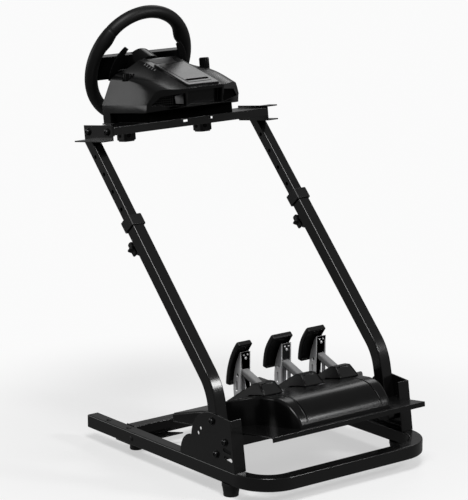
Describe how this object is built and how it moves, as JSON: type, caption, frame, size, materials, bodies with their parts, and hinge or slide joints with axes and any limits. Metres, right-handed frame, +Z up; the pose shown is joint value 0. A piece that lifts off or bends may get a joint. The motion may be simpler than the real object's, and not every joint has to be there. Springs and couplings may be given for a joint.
{
  "type": "racing wheel stand",
  "caption": "Folding tubular stand for sim racing, with a steering wheel unit clamped to its tilting top deck and a pedal set on its lower deck.",
  "frame": {"origin": "on the floor, on the middle plane, midway between the front of the base tube and the rear of the steering wheel", "axes": "+X to the driver's right, +Y forward, away from the driver, +Z up"},
  "size_m": [0.51, 0.8259, 0.9661],
  "materials": {
    "frame_paint": "satin black powder coat",
    "black_plastic": "fine-grained matte",
    "housing_plastic": "satin moulded",
    "grey_plastic": "satin",
    "steel": "bright zinc plate",
    "rubber": "matte",
    "rim_leather": "stitched leather wrap"
  },
  "bodies": {
    "base": {"base_tube": "frame_paint", "cross_tube": "frame_paint", "leg_cap_right": "black_plastic", "leg_cap_left": "black_plastic", "gusset_right": "frame_paint", "gusset_left": "frame_paint", "front_foot_right": "rubber", "front_foot_left": "rubber", "rear_foot_right": "rubber", "rear_foot_left": "rubber", "side_plate_right": "frame_paint", "side_plate_left": "frame_paint"},
    "uprights": {"lower_upright_right": "frame_paint", "lower_upright_left": "frame_paint", "collar_right": "black_plastic", "collar_left": "black_plastic"},
    "upper": {"upper_upright_right": "frame_paint", "upper_upright_left": "frame_paint", "deck_bracket_right": "frame_paint", "deck_bracket_left": "frame_paint"},
    "wheel_deck": {"deck_plate": "frame_paint", "wheel_housing": "housing_plastic", "wheel_lid": "housing_plastic", "clamp_jaw_right": "black_plastic", "clamp_jaw_left": "black_plastic", "clamp_knob_right": "black_plastic", "clamp_knob_left": "black_plastic"},
    "wheel": {"wheel_rim": "rim_leather", "wheel_hub": "housing_plastic"},
    "paddle_right": {"paddle_right": "black_plastic"},
    "paddle_left": {"paddle_left": "black_plastic"},
    "height_knob_right": {"height_knob_right": "black_plastic"},
    "height_knob_left": {"height_knob_left": "black_plastic"},
    "pedals": {"pedal_carrier": "frame_paint", "pedal_deck": "frame_paint", "pedal_shell": "housing_plastic", "throttle_boot": "black_plastic", "brake_boot": "black_plastic", "clutch_boot": "black_plastic"},
    "throttle": {"throttle_arm": "steel", "throttle_pad": "black_plastic", "throttle_bracket": "black_plastic"},
    "throttle_strut": {"throttle_strut": "grey_plastic"},
    "brake": {"brake_arm": "steel", "brake_pad": "black_plastic", "brake_bracket": "black_plastic"},
    "brake_strut": {"brake_strut": "grey_plastic"},
    "clutch": {"clutch_arm": "steel", "clutch_pad": "black_plastic", "clutch_bracket": "black_plastic"},
    "clutch_strut": {"clutch_strut": "grey_plastic"}
  },
  "joints": [
    {"name": "uprights_fold", "type": "hinge", "parent": "base", "child": "uprights", "pos_m": [0, 0.262, 0.086], "axis": [1, 0, 0], "range_deg": [0, 39]},
    {"name": "height_slide", "type": "slide", "parent": "uprights", "child": "upper", "axis": [0, -0.6871, 0.7266], "range_m": [-0.188, 0.047]},
    {"name": "deck_tilt", "type": "hinge", "parent": "upper", "child": "wheel_deck", "pos_m": [0, -0.17124, 0.71482], "axis": [1, 0, 0], "range_deg": [-4, 4]},
    {"name": "steering", "type": "hinge", "parent": "wheel_deck", "child": "wheel", "pos_m": [0, -0.3574, 0.82647], "axis": [0, -0.9511, 0.309], "range_deg": [-450, 450]},
    {"name": "shift_right", "type": "hinge", "parent": "wheel", "child": "paddle_right", "pos_m": [0.0425, -0.32127, 0.81473], "axis": [0, -0.309, -0.9511], "range_deg": [0, 6], "stiffness_Nm_per_rad": 1, "springref_deg": -8.59},
    {"name": "shift_left", "type": "hinge", "parent": "wheel", "child": "paddle_left", "pos_m": [-0.0425, -0.32127, 0.81473], "axis": [0, 0.309, 0.9511], "range_deg": [0, 6], "stiffness_Nm_per_rad": 1, "springref_deg": -8.59},
    {"name": "lock_right", "type": "hinge", "parent": "uprights", "child": "height_knob_right", "pos_m": [0.2345, -0.02552, 0.4965], "axis": [0, -0.7266, -0.6871], "continuous": true},
    {"name": "lock_left", "type": "hinge", "parent": "uprights", "child": "height_knob_left", "pos_m": [-0.2345, -0.02552, 0.4965], "axis": [0, -0.7266, -0.6871], "continuous": true},
    {"name": "pedal_tilt", "type": "hinge", "parent": "base", "child": "pedals", "pos_m": [0, 0.29113, 0.11896], "axis": [1, 0, 0], "range_deg": [-4, 6]},
    {"name": "throttle_press", "type": "hinge", "parent": "pedals", "child": "throttle", "pos_m": [0.105, 0.162, 0.134], "axis": [-1, 0, 0], "range_deg": [0, 18], "stiffness_Nm_per_rad": 6, "springref_deg": -11.46},
    {"name": "throttle_strut_slide", "type": "slide", "parent": "pedals", "child": "throttle_strut", "axis": [0, 0.9397, -0.342], "range_m": [0, 0.0265]},
    {"name": "brake_press", "type": "hinge", "parent": "pedals", "child": "brake", "pos_m": [-0.01, 0.162, 0.134], "axis": [-1, 0, 0], "range_deg": [0, 18], "stiffness_Nm_per_rad": 18, "springref_deg": -11.46},
    {"name": "brake_strut_slide", "type": "slide", "parent": "pedals", "child": "brake_strut", "axis": [0, 0.9397, -0.342], "range_m": [0, 0.0265]},
    {"name": "clutch_press", "type": "hinge", "parent": "pedals", "child": "clutch", "pos_m": [-0.11, 0.162, 0.134], "axis": [-1, 0, 0], "range_deg": [0, 18], "stiffness_Nm_per_rad": 8, "springref_deg": -11.46},
    {"name": "clutch_strut_slide", "type": "slide", "parent": "pedals", "child": "clutch_strut", "axis": [0, 0.9397, -0.342], "range_m": [0, 0.0265]}
  ],
  "couplings": [
    {"joint": "throttle_strut_slide", "follows": "throttle_press", "m_per_rad": 0.0828},
    {"joint": "brake_strut_slide", "follows": "brake_press", "m_per_rad": 0.0828},
    {"joint": "clutch_strut_slide", "follows": "clutch_press", "m_per_rad": 0.0828}
  ]
}
